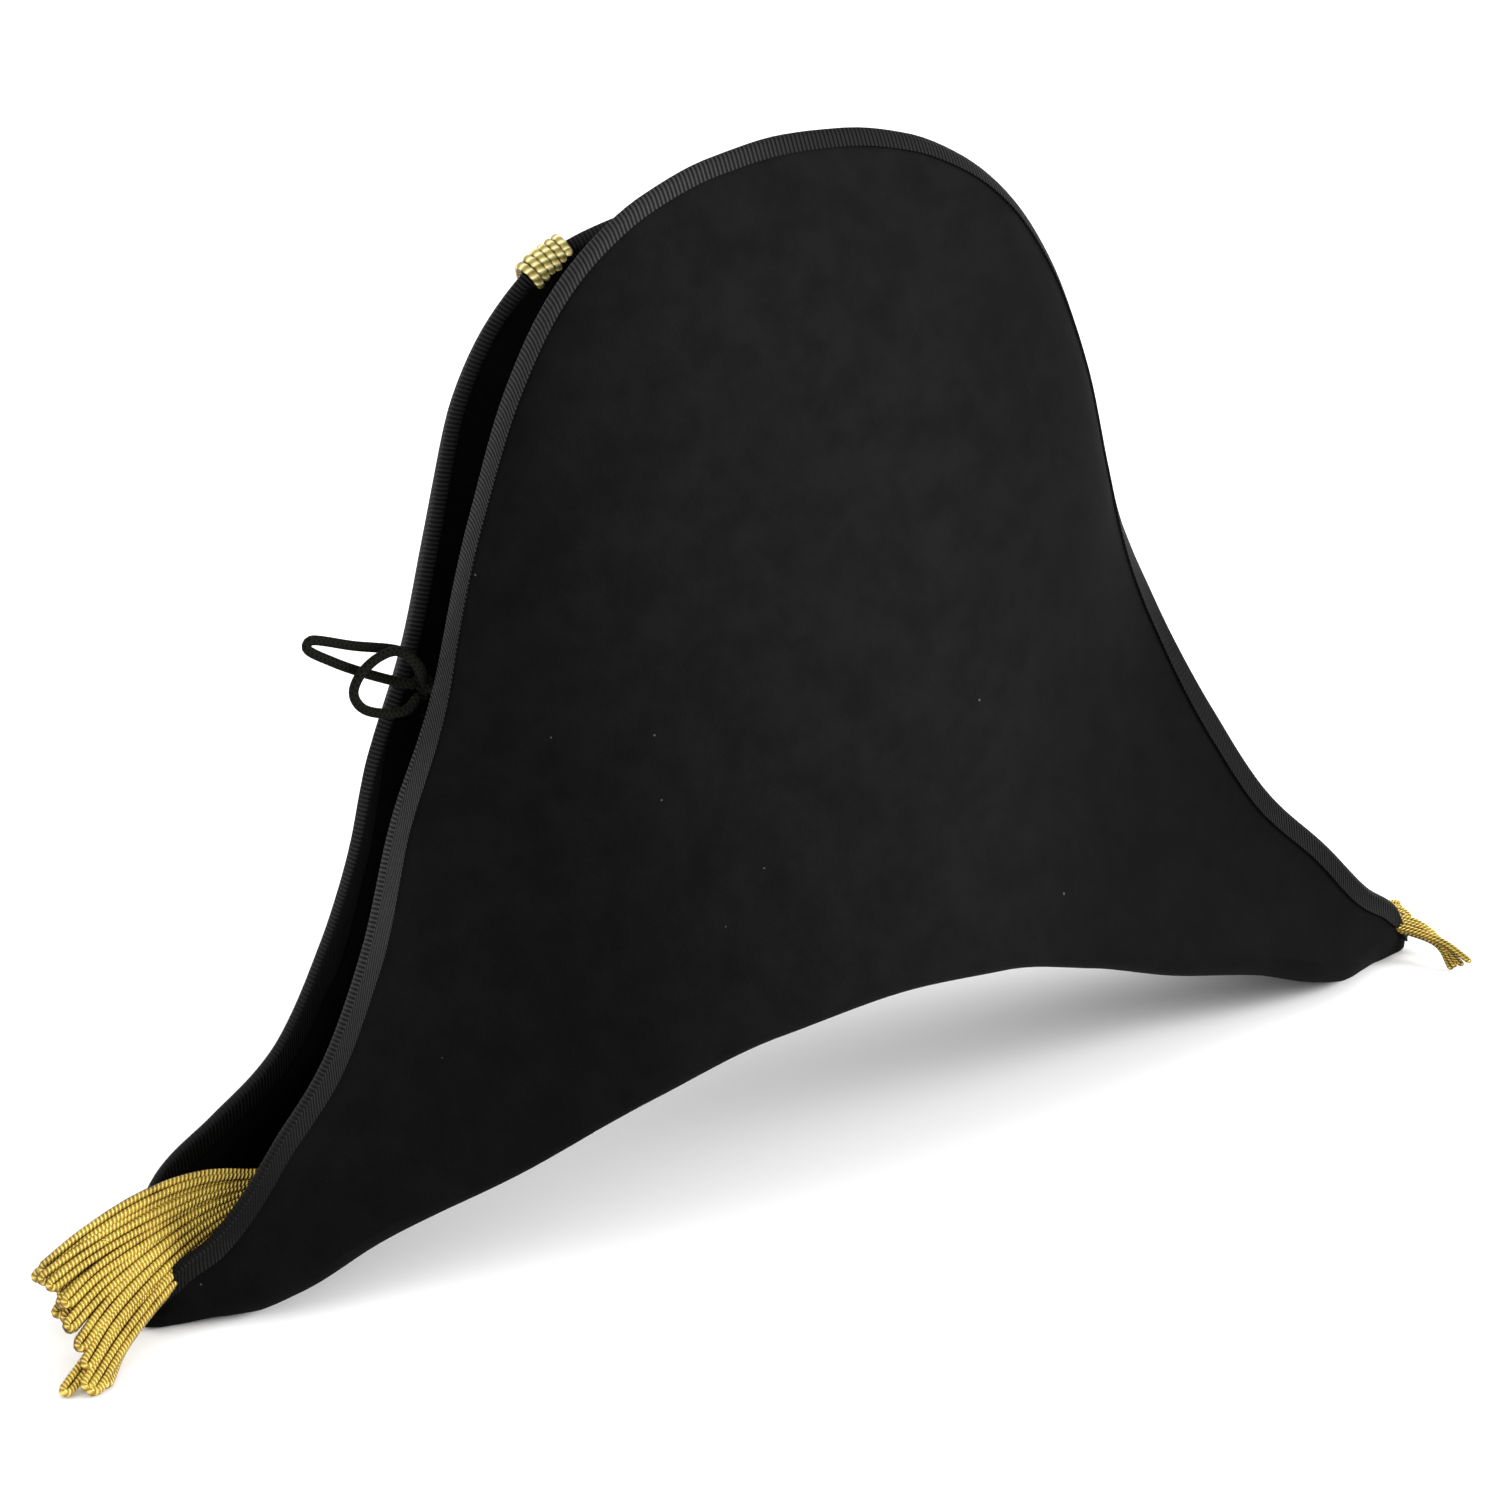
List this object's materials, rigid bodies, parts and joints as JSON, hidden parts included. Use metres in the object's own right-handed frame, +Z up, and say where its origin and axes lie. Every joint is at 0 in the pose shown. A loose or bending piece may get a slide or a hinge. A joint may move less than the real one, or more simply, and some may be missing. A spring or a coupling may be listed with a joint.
{
  "type": "bicorne hat",
  "caption": "Tall black wool-felt bicorne hat with ribbed binding, gold bullion tassels, a gold cord loop and a thin black lace.",
  "frame": {"origin": "on the standing surface under the middle of the whole, tassels included", "axes": "+X from the left tip to the right tip, +Y from the tall back flap to the front flap, +Z up"},
  "size_m": [0.4927, 0.1429, 0.3233],
  "materials": {
    "felt": "matt black wool felt",
    "ribbon": "black ribbed grosgrain",
    "gold_cord": "twisted gold bullion thread",
    "lace": "thin black cotton lace"
  },
  "bodies": {
    "root": {"brim": "felt", "crown": "felt", "binding_back": "ribbon", "binding_front": "ribbon", "loop_cord": "gold_cord", "tassel_left": "gold_cord", "tassel_right": "gold_cord", "lace_knot": "lace", "lace_long_loop": "lace", "lace_short_loop": "lace"}
  },
  "joints": []
}
